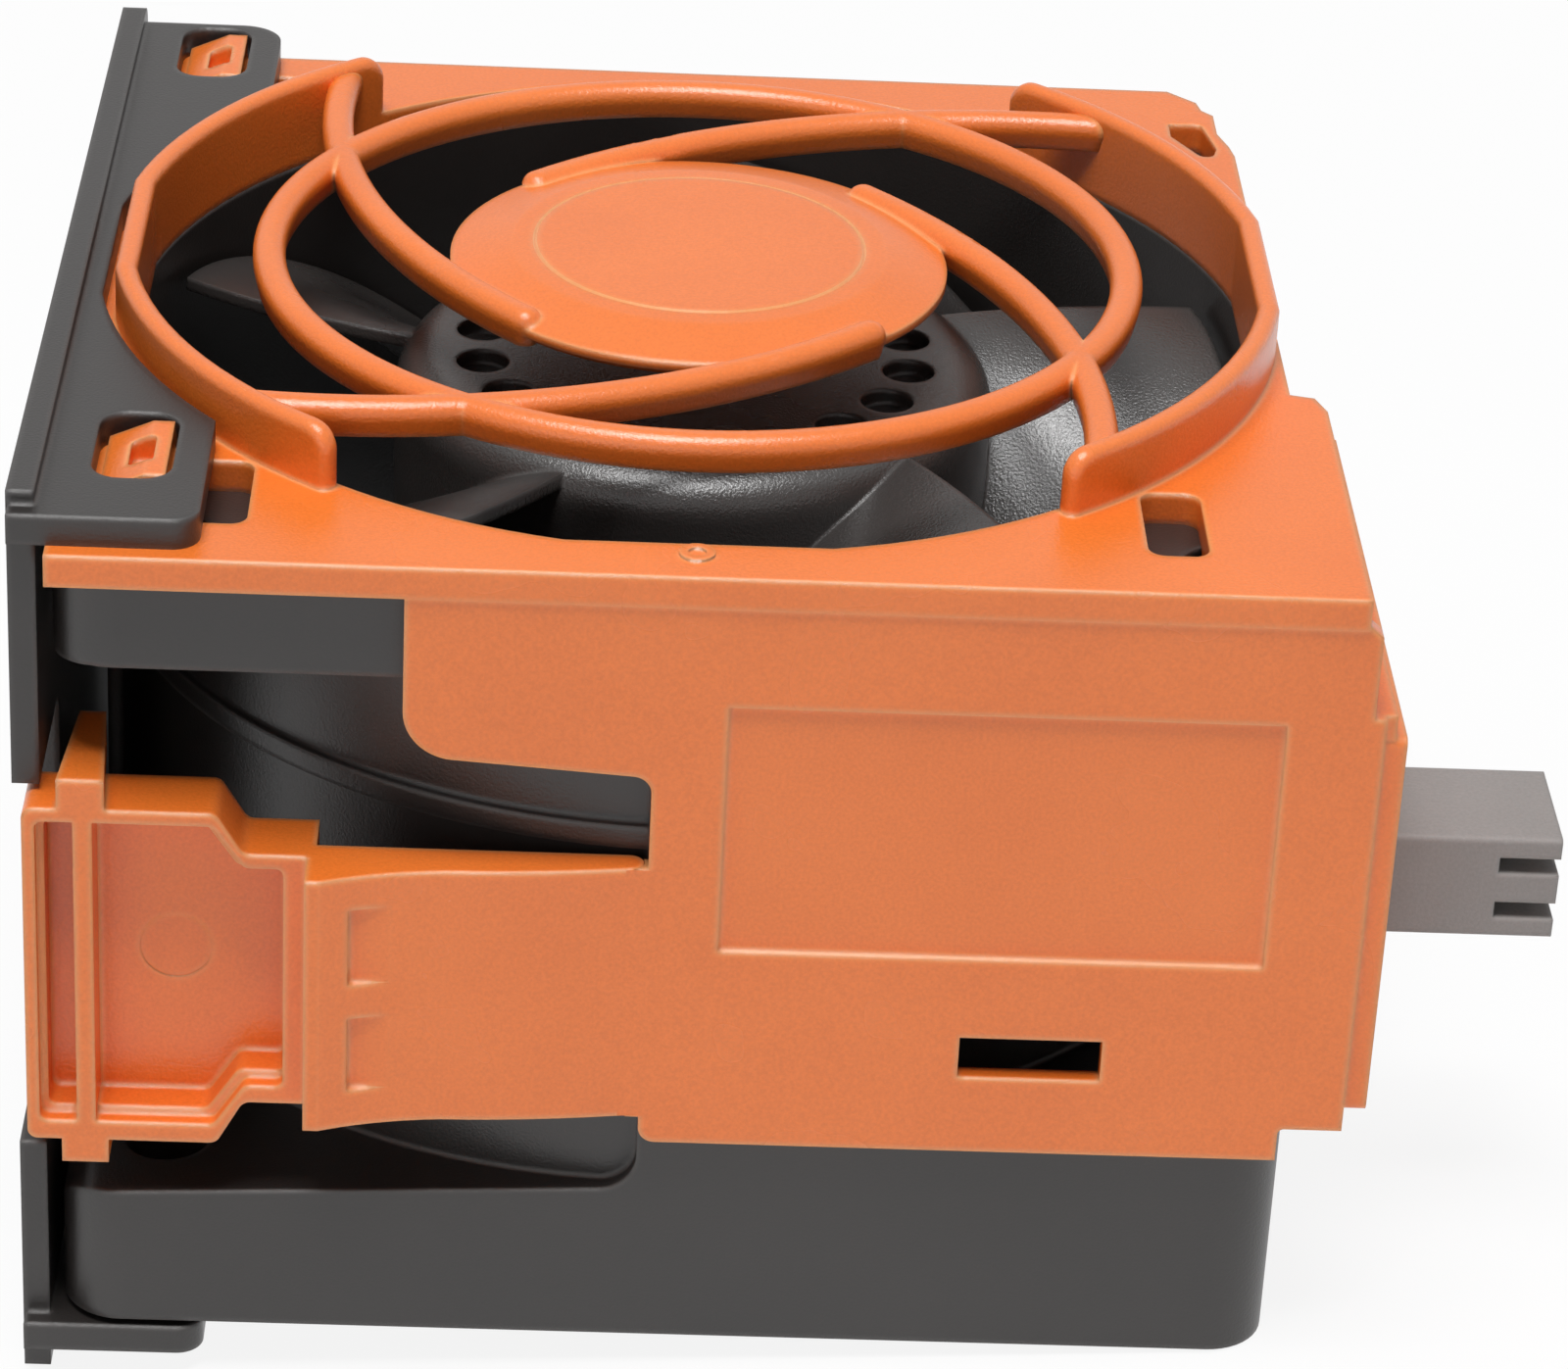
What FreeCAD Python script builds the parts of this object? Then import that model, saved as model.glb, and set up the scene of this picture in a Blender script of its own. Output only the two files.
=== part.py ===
import FreeCAD, Part
import math
import os
import re
import Sketcher
from FreeCAD import Vector

# Server fan module: an axial fan in an orange carrier with a swirl guard, a black end plate,
# a spring release latch and a blind-mate connector.
# Frame: origin on the fan axis at the bottom face of the fan frame, X to the connector,
# Y to the back, Z up along the fan axis. Millimetres.

SIZES = {
    # fan frame
    "frame_side": 60.0,
    "frame_height": 41.4,
    "frame_corner": 3.0,
    "duct_radius": 28.4,
    "duct_wall": 0.8,
    "top_flange": 4.7,
    "bottom_flange": 7.4,
    "bottom_flange_rise": 1.2,
    "solid_flange": 12.0,
    "bay_edge": 1.8,
    "bay_edge_back": 3.0,
    "screw_pitch": 50.0,
    "screw_hole": 4.3,
    "duct_rib_low": 27.6,
    "duct_rib_high": 28.8,
    "duct_rib_depth": 0.4,
    "base_radius": 16.0,
    "base_floor": 2.0,
    "base_rim": 4.6,
    "base_rim_width": 1.2,
    "strut_width": 3.0,
    "strut_height": 4.5,
    "lead_strut_width": 6.8,
    "lead_strut_height": 3.6,
    "lead_angle": -31.0,
    "lead_channel_floor": 2.2,
    "lead_side": 0.6,
    "relief_depth": 2.4,
    "foot_barb_height": 1.9,
    # carrier
    "panel_thickness": 1.6,
    "skin": 1.0,
    "lip_proud": 0.15,
    "opening_flat": 27.7,
    "collar_height": 3.2,
    "collar_wall": 1.1,
    "collar_flat": 29.0,
    "collar_sweep": 53.5,
    "collar_round": 0.45,
    "collar_end_round": 1.3,
    "panel_right": 31.1,
    "panel_right_back": 29.4,
    "side_wall_back": 10.0,
    "side_wall": 1.8,
    "boss_depth": 0.6,
    "boss_bottom": 13.85,
    "boss_top": 36.65,
    "plate_depth": 1.15,
    "plate_bottom": 14.7,
    "plate_top": 35.4,
    "plate_set_back": 0.5,
    "skirt_bottom": 12.04,
    "skirt_right": 29.3,
    "skirt_left": 13.5,
    "skirt_notch": 35.7,
    "skirt_shelf": 33.1,
    "bay_slot_top": 32.3,
    "recess_left": 1.66,
    "recess_right": 27.75,
    "recess_bottom": 22.92,
    "recess_top": 36.2,
    "recess_depth": 0.3,
    "window_left": 13.5,
    "window_right": 20.4,
    "window_bottom": 16.24,
    "window_top": 18.53,
    "leg_width": 2.6,
    "leg_thickness": 2.4,
    "leg_barb": 1.5,
    "leg_barb_height": 1.6,
    "leg_slot_width": 2.9,
    "leg_slot_length": 6.5,
    "barb_width": 3.1,
    "barb_rise": 1.4,
    "mark_radius": 0.85,
    "mark_height": 0.15,
    "barb_length": 5.8,
    # guard
    "bar_width": 1.65,
    "bar_rise": 1.05,
    "bar_height": 1.8,
    "bar_round": 0.7,
    "ring_radius": 21.7,
    "disc_radius": 12.6,
    "disc_rise": 1.3,
    "disc_rim": 0.8,
    "disc_height": 1.7,
    "disc_slope": 9.5,
    "disc_groove": 8.35,
    "spoke_radius": 37.4,
    "spoke_turn": 44.2,
    "spoke_tip": 12.0,
    # end plate
    "end_face": 31.9,
    "end_thickness": 1.3,
    "end_front": 29.0,
    "end_back": 32.0,
    "end_drop": 3.6,
    "end_rise": 2.2,
    "end_flange": 1.5,
    "end_flange_front": 30.1,
    "end_flange_back": 30.9,
    "end_flange_reach": 23.0,
    "end_gap": 0.4,
    "end_cut_gap": 0.65,
    "notch_bottom": 9.65,
    "notch_top": 29.8,
    "notch_depth": 9.0,
    "slot_left": 28.4,
    "slot_width": 3.8,
    "slot_length": 7.0,
    "slot_front": 22.4,
    "slot_back": 26.8,
    # release latch
    "arm_bottom": 13.5,
    "arm_top": 27.3,
    "arm_back": 29.6,
    "arm_face": 31.0,
    "arm_mid_face": 31.8,
    "arm_end_face": 33.15,
    "arm_end": 17.9,
    "pivot_x": 2.7,
    "knuckle_gap": 0.04,
    "tray_face": 30.8,
    "tray_left": 31.3,
    "tray_top": 29.45,
    "tray_bottom": 11.1,
    "tray_depth": 3.6,
    "tray_floor": 0.8,
    "tray_rim": 0.95,
    "tray_shoulder": 22.2,
    "tray_neck": 20.9,
    "tray_right": 19.0,
    "rib_left": 28.9,
    "rib_width": 0.9,
    "hook_left": 29.65,
    "hook_right": 27.4,
    "hook_top": 31.05,
    "lug_bottom": 9.8,
    "hook_back": 24.0,
    "hook_taper": 0.5,
    "grip_depth": 1.0,
    "tray_step": 0.35,
    "tray_step_depth": 0.9,
    "ejector_radius": 1.75,
    # impeller
    "tip_gap": 0.6,
    "hub_radius": 15.3,
    "hub_top": 40.0,
    "hub_bottom": 6.0,
    "hub_wall": 1.2,
    "hub_cap": 1.6,
    "hub_shoulder": 2.3,
    "vent_circle": 11.0,
    "vent_hole": 2.7,
    "vent_count": 18,
    "blade_count": 5,
    "blade_top": 39.0,
    "blade_bottom": 8.0,
    "blade_hub_start": 28.0,
    "blade_tip_start": 19.0,
    "blade_sweep": -78.0,
    "blade_bow": 0.85,
    "blade_thickness": 1.5,
    # rotor and motor
    "fit": 0.03,
    "yoke_wall": 0.8,
    "yoke_bottom": 11.5,
    "yoke_boss_radius": 3.0,
    "yoke_boss_height": 2.6,
    "magnet_thickness": 1.7,
    "magnet_height": 17.0,
    "air_gap": 0.5,
    "shaft_radius": 1.5,
    "shaft_end": 4.2,
    "bearing_radius": 4.0,
    "bearing_height": 4.0,
    "bearing_ring": 0.9,
    "lower_bearing": 6.4,
    "upper_bearing": 27.6,
    "tube_wall": 1.0,
    "tube_top": 32.0,
    "tube_ledge": 0.7,
    "clip_thickness": 0.4,
    "clip_radius": 2.7,
    "washer_thickness": 0.3,
    "core_bottom": 14.0,
    "core_height": 12.0,
    "core_hub": 7.2,
    "core_tooth": 3.2,
    "core_tip": 1.4,
    "core_tip_half": 38.0,
    "insulator": 0.8,
    "coil_width": 1.3,
    "board_bottom": 3.4,
    "board_thickness": 1.2,
    "board_radius": 13.4,
    "post_radius": 0.9,
    "pin_radius": 0.35,
    "pin_circle": 6.6,
    # connector
    "plug_front": 20.0,
    "plug_back": 12.8,
    "plug_bottom": 18.55,
    "plug_top": 24.2,
    "plug_end": 43.7,
    "plug_start": 29.3,
    "plug_clearance": 0.1,
    "plug_slot": 0.95,
    "plug_slot_depth": 3.05,
    "contact_pitch": 2.54,
    "contact_side": 0.64,
    "wire_radius": 0.5,
    "wire_pitch": 1.2,
    "wire_floor": 0.08,
    "wire_bend": 1.5,
    "wire_rise": 31.3,
    "lead_gap": 0.2,
}

# Sizes that follow from the ones above.
DERIVED = {
    "frame_half": "frame_side / 2",
    "screw_half": "screw_pitch / 2",
    "duct_outer": "duct_radius + duct_wall",
    "bay_top": "frame_height - top_flange",
    "lead_channel_width": "3 * wire_pitch + 2 * wire_radius + lead_side",
    "lead_well_inner": "wire_rise - wire_radius - lead_side",
    "lead_well_outer": "wire_rise + wire_radius + lead_side",
    "wire_height": "lead_channel_floor + wire_radius + wire_floor",
    "panel_top": "frame_height + panel_thickness",
    "skirt_face": "frame_half + skin",
    "lip_face": "skirt_face + lip_proud",
    "wall_face": "frame_half + side_wall",
    "boss_face": "wall_face + boss_depth",
    "plate_face": "boss_face + plate_depth",
    "collar_top": "panel_top + collar_height",
    "collar_outer": "duct_radius + collar_wall",
    "collar_inner_flat": "collar_flat - collar_wall",
    "bar_bottom": "panel_top + bar_rise",
    "bar_top": "bar_bottom + bar_height",
    "disc_bottom": "panel_top + disc_rise",
    "disc_edge": "disc_bottom + disc_rim",
    "disc_top": "disc_bottom + disc_height",
    "spoke_centre_x": "(spoke_radius - spoke_tip) * cos(spoke_turn)",
    "spoke_centre_y": "(spoke_radius - spoke_tip) * sin(spoke_turn)",
    "end_inner": "end_face - end_thickness",
    "end_top": "panel_top + end_rise",
    "pivot_y": "(arm_face + arm_back) / 2",
    "knuckle_radius": "(arm_face - arm_back) / 2",
    "tip_radius": "duct_radius - tip_gap",
    "yoke_outer": "hub_radius - hub_wall - fit",
    "yoke_top": "hub_top - hub_cap",
    "magnet_outer": "yoke_outer - yoke_wall - fit",
    "magnet_inner": "magnet_outer - magnet_thickness",
    "core_radius": "magnet_inner - air_gap",
    "tube_outer": "bearing_radius + tube_wall",
    "core_top": "core_bottom + core_height",
    "board_top": "board_bottom + board_thickness",
    "plug_middle": "(plug_front + plug_back) / 2",
    "plug_height": "(plug_bottom + plug_top) / 2",
}

doc = FreeCAD.newDocument("server_fan_module")
sheet = doc.addObject("Spreadsheet::Sheet", "dims")
for row, (alias, number) in enumerate(SIZES.items(), start=1):
    sheet.set("A%d" % row, alias.replace("_", " "))
    sheet.set("B%d" % row, str(number))
    sheet.setAlias("B%d" % row, alias)
doc.recompute()


def ex(text):
    """Expression with each size's name tied to its cell."""
    def tie(found):
        word = found.group()
        if word in DERIVED:
            return "(" + ex(DERIVED[word]) + ")"
        return "dims." + word if word in SIZES else word
    return re.sub(r"[a-z][a-z_]*", tie, str(text))


def val(text):
    """Number that an expression has now."""
    return float(sheet.evalExpression("0 + " + ex(text)))


def neg(text):
    return "-(%s)" % text


def new_body(label):
    body = doc.addObject("PartDesign::Body", label)
    body.Label = label
    return body


def origin_part(body, role):
    return next(item for item in body.Origin.OriginFeatures if item.Role == role)


def new_sketch(body, name, plane, level):
    """Sketch parallel to an origin plane, at a level along that plane's axis."""
    sketch = body.newObject("Sketcher::SketchObject", name)
    sketch.AttachmentSupport = [(origin_part(body, plane + "_Plane"), "")]
    sketch.MapMode = "FlatFace"
    offset = neg(level) if plane == "XZ" else level
    sketch.setExpression("AttachmentOffset.Base.z", ex("0 + " + offset))
    return sketch


def fix(sketch, geo, point, x, y):
    """Ties a point of the sketch to two expressions."""
    for kind, text, axis in (("DistanceX", x, -2), ("DistanceY", y, -1)):
        number = val(text)
        if abs(number) < 1e-9:
            sketch.addConstraint(Sketcher.Constraint("PointOnObject", geo, point, axis))
        else:
            index = sketch.addConstraint(Sketcher.Constraint(kind, -1, 1, geo, point, number))
            sketch.setExpression("Constraints[%d]" % index, ex(text))


def tie_radius(sketch, geo, radius):
    index = sketch.addConstraint(Sketcher.Constraint("Radius", geo, val(radius)))
    sketch.setExpression("Constraints[%d]" % index, ex(radius))


def arc_between(start, end, centre):
    """Shorter arc from start to end: its geometry and which of its ends is the start."""
    first = math.atan2(start.y - centre.y, start.x - centre.x)
    last = math.atan2(end.y - centre.y, end.x - centre.x)
    circle = Part.Circle(centre, Vector(0, 0, 1), (start - centre).Length)
    if (last - first) % (2 * math.pi) <= math.pi:
        return Part.ArcOfCircle(circle, first, last), 1
    return Part.ArcOfCircle(circle, last, first), 2


def bulge_centre(start, end, radius):
    """Centre of an arc; a positive radius puts it left of the way from start to end."""
    half = (end - start) * 0.5
    side = Vector(-half.y, half.x, 0).normalize()
    rise = math.sqrt(max(radius * radius - half.Length ** 2, 0))
    return start + half + side * math.copysign(rise, radius)


def outline(sketch, corners):
    """Closed outline. A corner is (x, y) or (x, y, radius); (x, y, None, r) bends the next side."""
    spots = [Vector(val(c[0]), val(c[1]), 0) for c in corners]
    count = len(corners)
    radius = [c[2] if len(c) > 2 else None for c in corners]
    bend = [c[3] if len(c) > 3 else None for c in corners]
    cut = []
    for i in range(count):
        before = (spots[i] - spots[i - 1]).normalize()
        after = (spots[(i + 1) % count] - spots[i]).normalize()
        if radius[i] is None:
            cut.append((spots[i], spots[i], None))
            continue
        turn = before.getAngle(after)
        length = val(radius[i]) * math.tan(turn / 2)
        side = math.copysign(1, before.x * after.y - before.y * after.x)
        first = spots[i] - before * length
        centre = first + Vector(-before.y, before.x, 0) * side * val(radius[i])
        cut.append((first, spots[i] + after * length, centre))
    sides = []
    for i in range(count):
        start, end = cut[i][1], cut[(i + 1) % count][0]
        if bend[i] is None:
            sides.append((sketch.addGeometry(Part.LineSegment(start, end), False), 1))
        else:
            arc, first = arc_between(start, end, bulge_centre(start, end, val(bend[i])))
            sides.append((sketch.addGeometry(arc, False), first))
            tie_radius(sketch, sides[-1][0], "abs(%s)" % bend[i])
    for i in range(count):
        x, y = corners[i][0], corners[i][1]
        before, after = sides[i - 1], sides[i]
        if radius[i] is None:
            sketch.addConstraint(
                Sketcher.Constraint("Coincident", before[0], 3 - before[1], after[0], after[1]))
            fix(sketch, after[0], after[1], x, y)
            continue
        arc, first = arc_between(*cut[i])
        geo = sketch.addGeometry(arc, False)
        spot = sketch.addGeometry(Part.Point(spots[i]), True)
        fix(sketch, spot, 1, x, y)
        sketch.addConstraint(Sketcher.Constraint("PointOnObject", spot, 1, before[0]))
        sketch.addConstraint(Sketcher.Constraint("PointOnObject", spot, 1, after[0]))
        sketch.addConstraint(Sketcher.Constraint("Tangent", before[0], 2, geo, first))
        sketch.addConstraint(Sketcher.Constraint("Tangent", geo, 3 - first, after[0], 1))
        tie_radius(sketch, geo, radius[i])
    return sketch


def circle(sketch, x, y, radius):
    spot = Vector(val(x), val(y), 0)
    geo = sketch.addGeometry(Part.Circle(spot, Vector(0, 0, 1), val(radius)), False)
    fix(sketch, geo, 3, x, y)
    tie_radius(sketch, geo, radius)
    return sketch


def box_outline(sketch, x_low, x_high, y_low, y_high, radius=None):
    corners = [(x_low, y_low), (x_high, y_low), (x_high, y_high), (x_low, y_high)]
    return outline(sketch, [c + (radius,) for c in corners])


def radial_box(sketch, angle, start, end, width):
    """Rectangle along a radius at an angle."""
    def spot(along, side):
        x = "(%s) * cos(%s) - (%s) * sin(%s)" % (along, angle, side, angle)
        y = "(%s) * sin(%s) + (%s) * cos(%s)" % (along, angle, side, angle)
        return (x, y)
    half = "(%s) / 2" % width
    return outline(sketch, [spot(start, neg(half)), spot(end, neg(half)),
                            spot(end, half), spot(start, half)])


def extrude(body, kind, name, sketch, length, way):
    """Pad or Pocket of a sketch, along its plane's axis when way is 1, against it when -1."""
    feature = body.newObject("PartDesign::" + kind, name)
    feature.Profile = sketch
    feature.setExpression("Length", ex(length))
    flip = way < 0
    if sketch.AttachmentSupport[0][0].Role == "XZ_Plane":
        flip = not flip
    feature.Reversed = flip if kind == "Pad" else not flip
    return feature


def pad(body, name, sketch, length, way=1):
    return extrude(body, "Pad", name, sketch, length, way)


def pocket(body, name, sketch, length, way=-1):
    return extrude(body, "Pocket", name, sketch, length, way)


def revolve(body, kind, name, sketch, angle=360):
    feature = body.newObject("PartDesign::" + kind, name)
    feature.Profile = sketch
    feature.ReferenceAxis = (sketch, ["V_Axis"])
    feature.Angle = angle
    return feature


def repeat(body, name, features, count):
    """Polar pattern of features round the fan axis."""
    pattern = body.newObject("PartDesign::PolarPattern", name)
    pattern.Originals = features
    pattern.Axis = (origin_part(body, "Z_Axis"), [""])
    pattern.Angle = 360
    pattern.setExpression("Occurrences", ex(count))
    body.Tip = pattern
    return pattern


def mirror(body, name, features, plane):
    copy = body.newObject("PartDesign::Mirrored", name)
    copy.Originals = features
    copy.MirrorPlane = (origin_part(body, plane + "_Plane"), [""])
    body.Tip = copy
    return copy


def dress(body, kind, name, size, wanted):
    """Fillet or Chamfer of the tip's edges that a test accepts."""
    doc.recompute()
    base = body.Tip
    edges = [i for i, edge in enumerate(base.Shape.Edges, start=1) if wanted(edge)]
    feature = body.newObject("PartDesign::" + kind, name)
    feature.Base = (base, ["Edge%d" % i for i in edges])
    feature.setExpression("Radius" if kind == "Fillet" else "Size", ex(size))
    return feature


def ring_body(label, inner, outer, low, high):
    """Plain ring about the fan axis."""
    body = new_body(label)
    sketch = new_sketch(body, label + "_plan", "XY", low)
    circle(sketch, "0", "0", outer)
    circle(sketch, "0", "0", inner)
    pad(body, label + "_ring", sketch, "(%s) - (%s)" % (high, low))
    return body


# ---------------------------------------------------------------- fan frame

def make_fan_frame():
    body = new_body("fan_frame")
    plan = new_sketch(body, "block_plan", "XY", "0")
    box_outline(plan, neg("frame_half"), "frame_half", neg("frame_half"), "frame_half",
                "frame_corner")
    pad(body, "block", plan, "frame_height")

    # Corner bays between the flanges. The left bays have a lower edge that climbs to the middle.
    left = new_sketch(body, "left_bay_side", "XZ", neg("frame_half + 1"))
    outline(left, [
        (neg("frame_half + 2"), "bottom_flange - 3"), (neg("frame_half"), "bottom_flange - 3"),
        (neg("frame_half"), "bottom_flange", "2"),
        (neg("bay_edge"), "bottom_flange + bottom_flange_rise", "2"),
        (neg("bay_edge"), "bay_top"),
        (neg("frame_half - 2"), "bay_top", "0.8"),
        (neg("frame_half + 2"), "bay_top - 0.6")])
    left_bay = pocket(body, "left_bay", left, "frame_half + 1 - bay_edge", 1)
    right = new_sketch(body, "right_bay_side", "XZ", neg("frame_half + 1"))
    box_outline(right, "bay_edge_back", "frame_half + 2", "solid_flange", "bay_top")
    right_bay = pocket(body, "right_bay", right, "frame_half + 1 - bay_edge", 1)
    mirror(body, "back_bays", [left_bay, right_bay], "XZ")

    # Round duct with an outer rib and its bore.
    wall = new_sketch(body, "duct_plan", "XY", "bottom_flange - 2")
    circle(wall, "0", "0", "duct_outer")
    pad(body, "duct_wall", wall, "bay_top + 2 - bottom_flange + 2")
    rib = new_sketch(body, "rib_plan", "XY", "duct_rib_low")
    circle(rib, "0", "0", "duct_outer + duct_rib_depth")
    pad(body, "duct_rib", rib, "duct_rib_high - duct_rib_low")
    bore = new_sketch(body, "bore_plan", "XY", "frame_height")
    circle(bore, "0", "0", "duct_radius")
    pocket(body, "duct_bore", bore, "frame_height")

    # Motor base with its rim, three plain struts and the wide strut that carries the leads.
    floor = new_sketch(body, "base_plan", "XY", "0")
    circle(floor, "0", "0", "base_radius")
    pad(body, "base_floor_disc", floor, "base_floor")
    rim = new_sketch(body, "rim_plan", "XY", "0")
    circle(rim, "0", "0", "base_radius")
    circle(rim, "0", "0", "base_radius - base_rim_width")
    pad(body, "base_rim_wall", rim, "base_rim")
    for turn in (1, 2, 3):
        strut = new_sketch(body, "strut_plan_%d" % turn, "XY", "0")
        radial_box(strut, "lead_angle + %d" % (90 * turn), "base_radius - 0.6",
                   "duct_radius + 0.5", "strut_width")
        pad(body, "strut_%d" % turn, strut, "strut_height")
    wide = new_sketch(body, "lead_strut_plan", "XY", "0")
    radial_box(wide, "lead_angle", "base_radius - 0.6", "duct_radius + 0.5", "lead_strut_width")
    pad(body, "lead_strut", wide, "lead_strut_height")
    channel = new_sketch(body, "lead_channel_plan", "XY", "lead_strut_height")
    radial_box(channel, "lead_angle", "base_radius - base_rim_width - 0.5", "lead_well_inner + 1",
               "lead_channel_width")
    pocket(body, "lead_channel", channel, "lead_strut_height - lead_channel_floor")
    gate = new_sketch(body, "rim_gate_plan", "XY", "base_rim")
    radial_box(gate, "lead_angle", "base_radius - base_rim_width - 0.5", "base_radius + 0.5",
               "lead_channel_width")
    pocket(body, "rim_gate", gate, "base_rim - lead_channel_floor")
    well = new_sketch(body, "lead_well_plan", "XY", "solid_flange")
    radial_box(well, "lead_angle", "lead_well_inner", "lead_well_outer", "lead_channel_width")
    pocket(body, "lead_well", well, "solid_flange - lead_channel_floor")

    # Posts under the circuit board and the socket of the bearing tube.
    for turn in (0, 1, 2):
        post = new_sketch(body, "post_plan_%d" % turn, "XY", "base_floor")
        angle = "%d" % (35 + 120 * turn)
        circle(post, "10 * cos(%s)" % angle, "10 * sin(%s)" % angle, "post_radius")
        pad(body, "post_%d" % turn, post, "board_bottom - base_floor")

    # Relief beside the carrier's panel, which stops short of the frame's right side.
    relief = new_sketch(body, "relief_plan", "XY", "frame_height")
    low = neg("side_wall_back - 0.6")
    outline(relief, [
        ("panel_right_back - 0.1", low), ("frame_half + 1", low),
        ("frame_half + 1", "frame_half + 1"), ("panel_right_back - 3.1", "frame_half + 1"),
        ("panel_right_back - 3.1", "frame_half - 0.2"), ("panel_right_back - 1.6", "28.4"),
        ("panel_right_back - 0.8", "26.7"), ("panel_right_back - 0.8", "24"),
        ("panel_right_back - 0.1", "21")])
    pocket(body, "panel_relief", relief, "relief_depth")

    # Screw holes of the four corners.
    holes = new_sketch(body, "screw_plan", "XY", "frame_height")
    for x_side in ("screw_half", neg("screw_half")):
        for y_side in ("screw_half", neg("screw_half")):
            circle(holes, x_side, y_side, "screw_hole / 2")
    pocket(body, "screw_holes", holes, "frame_height")

    # Barbs on the underside for the end plate's lower flange.
    for name, middle in (("front", neg("slot_front")), ("back", "slot_back")):
        low = "%s - barb_length / 2" % middle
        barb = new_sketch(body, "foot_barb_side_" + name, "XZ", low)
        right_x = "slot_left - slot_width + 0.25"
        left_x = "slot_left - 0.25"
        outline(barb, [(neg(left_x), "0.2"), (neg(left_x), "-0.5"),
                       (neg(right_x + " + 1"), neg("foot_barb_height")),
                       (neg(right_x), neg("foot_barb_height")), (neg(right_x), "0.2")])
        pad(body, "foot_barb_" + name, barb, "barb_length")
    return body


# ---------------------------------------------------------------- carrier

def make_carrier():
    body = new_body("carrier")
    top = new_sketch(body, "panel_plan", "XY", "frame_height")
    outline(top, [
        (neg("frame_half"), neg("skirt_face")), ("panel_right", neg("skirt_face")),
        ("panel_right", neg("side_wall_back + 1")),
        ("panel_right - 0.5", neg("side_wall_back - 0.5")),
        ("panel_right_back", neg("side_wall_back - 0.8")), ("panel_right_back", "21"),
        ("panel_right_back - 0.2", "22.3"), ("panel_right_back - 0.7", "24.1"),
        ("panel_right_back - 0.7", "26.7"), ("panel_right_back - 1.3", "27.4"),
        ("panel_right_back - 1.5", "28.5"), ("panel_right_back - 3", "frame_half"),
        (neg("frame_half"), "frame_half")])
    pad(body, "panel", top, "panel_thickness")
    lip = new_sketch(body, "lip_plan", "XY", "frame_height")
    box_outline(lip, neg("frame_half"), "panel_right", neg("lip_face"), neg("frame_half"))
    pad(body, "lip", lip, "panel_thickness")

    # Front skirt over the fan frame, and the wall on the right that carries the plug.
    skirt = new_sketch(body, "skirt_side", "XZ", neg("frame_half"))
    outline(skirt, [
        (neg("skirt_left"), "frame_height + 0.2"), (neg("skirt_left"), "skirt_shelf", "2.5"),
        (neg("bay_edge"), "bay_slot_top", "0.9"), (neg("bay_edge"), "skirt_bottom", "0.8"),
        ("skirt_right", "skirt_bottom"), ("skirt_right", "boss_bottom", "0.3"),
        ("boss_face", "boss_bottom"), ("boss_face", "boss_top"), ("wall_face", "boss_top"),
        ("wall_face", "frame_height - 0.4"), ("panel_right", "frame_height + 0.2")])
    pad(body, "skirt", skirt, "skin", -1)
    wall = new_sketch(body, "wall_side", "YZ", "frame_half")
    box_outline(wall, neg("skirt_face"), neg("side_wall_back"), "boss_bottom",
                "frame_height - 0.4")
    pad(body, "side_wall_plate", wall, "side_wall")
    cap = new_sketch(body, "wall_cap_side", "YZ", "frame_half")
    box_outline(cap, neg("skirt_face"), neg("side_wall_back"), "frame_height - 0.5",
                "frame_height + 0.1")
    pad(body, "wall_cap", cap, "panel_right - frame_half")
    boss = new_sketch(body, "boss_side", "YZ", "wall_face")
    box_outline(boss, neg("skirt_face"), neg("side_wall_back"), "boss_bottom", "boss_top")
    pad(body, "plug_boss", boss, "boss_depth")
    plate = new_sketch(body, "plate_side", "YZ", "boss_face")
    box_outline(plate, neg("skirt_face - plate_set_back"), neg("side_wall_back + 0.5"),
                "plate_bottom", "plate_top", "0.4")
    pad(body, "plug_plate", plate, "plate_depth")
    ledge = new_sketch(body, "ledge_side", "YZ", "boss_face")
    box_outline(ledge, neg("skirt_face - plate_set_back"), neg("side_wall_back + 0.5"),
                "plate_top - 0.1", "boss_top")
    pad(body, "plug_ledge", ledge, "plate_depth / 2")
    hole = new_sketch(body, "plug_hole_side", "YZ", "plate_face")
    box_outline(hole, neg("plug_front + plug_clearance"), neg("plug_back - plug_clearance"),
                "plug_bottom - plug_clearance", "plug_top + plug_clearance")
    pocket(body, "plug_hole", hole, "plate_face - frame_half + 0.1", -1)

    # Label recess and window of the skirt.
    recess = new_sketch(body, "recess_side", "XZ", neg("skirt_face"))
    box_outline(recess, "recess_left", "recess_right", "recess_bottom", "recess_top")
    pocket(body, "label_recess", recess, "recess_depth", 1)
    window = new_sketch(body, "window_side", "XZ", neg("skirt_face"))
    box_outline(window, "window_left", "window_right", "window_bottom", "window_top")
    pocket(body, "window", window, "skin + 0.1", 1)

    # Socket of the latch knuckle in the skirt's left edge.
    gap = new_sketch(body, "knuckle_gap_plan", "XY", "arm_top + knuckle_gap")
    circle(gap, neg("pivot_x"), neg("pivot_y"), "knuckle_radius + knuckle_gap")
    lips = new_sketch(body, "knuckle_lip_plan", "XY", "arm_bottom - knuckle_gap")
    box_outline(lips, neg("pivot_x - 0.1"), neg("bay_edge - 0.5"), neg("skirt_face"),
                neg("frame_half"))
    pad(body, "knuckle_lip", lips, "arm_top - arm_bottom + 2 * knuckle_gap")
    pocket(body, "knuckle_socket", gap, "arm_top - arm_bottom + 2 * knuckle_gap")

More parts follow.
